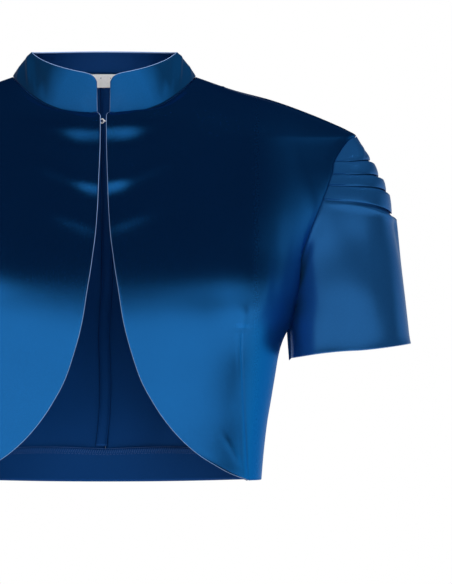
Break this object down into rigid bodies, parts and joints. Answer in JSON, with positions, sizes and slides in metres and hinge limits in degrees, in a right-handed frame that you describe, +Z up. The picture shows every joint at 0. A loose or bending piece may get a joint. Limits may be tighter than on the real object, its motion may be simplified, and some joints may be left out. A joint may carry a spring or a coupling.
{
  "type": "bolero jacket",
  "caption": "Cropped short-sleeved bolero jacket in satin with a stand collar, pleated sleeve caps, a curved cutaway front and a hook and eye at the neck.",
  "frame": {"origin": "on the centre line of the neck, level with the high points of the shoulders, where a wearer holds the jacket up", "axes": "+X to the wearer's left across the shoulders, +Y to the back, +Z up"},
  "size_m": [0.4752, 0.2105, 0.3359],
  "materials": {
    "satin": "satin",
    "satin_inside": "matte",
    "label_cloth": "matte",
    "steel": "satin"
  },
  "bodies": {
    "root": {"front_left": "satin", "front_right": "satin", "back_left": "satin", "back_right": "satin", "sleeve_left": "satin", "sleeve_right": "satin", "collar": "satin", "back_hem_turn_up": "satin_inside", "centre_back_allowance": "satin_inside", "label": "label_cloth", "hook": "steel", "eye": "steel"}
  },
  "joints": []
}
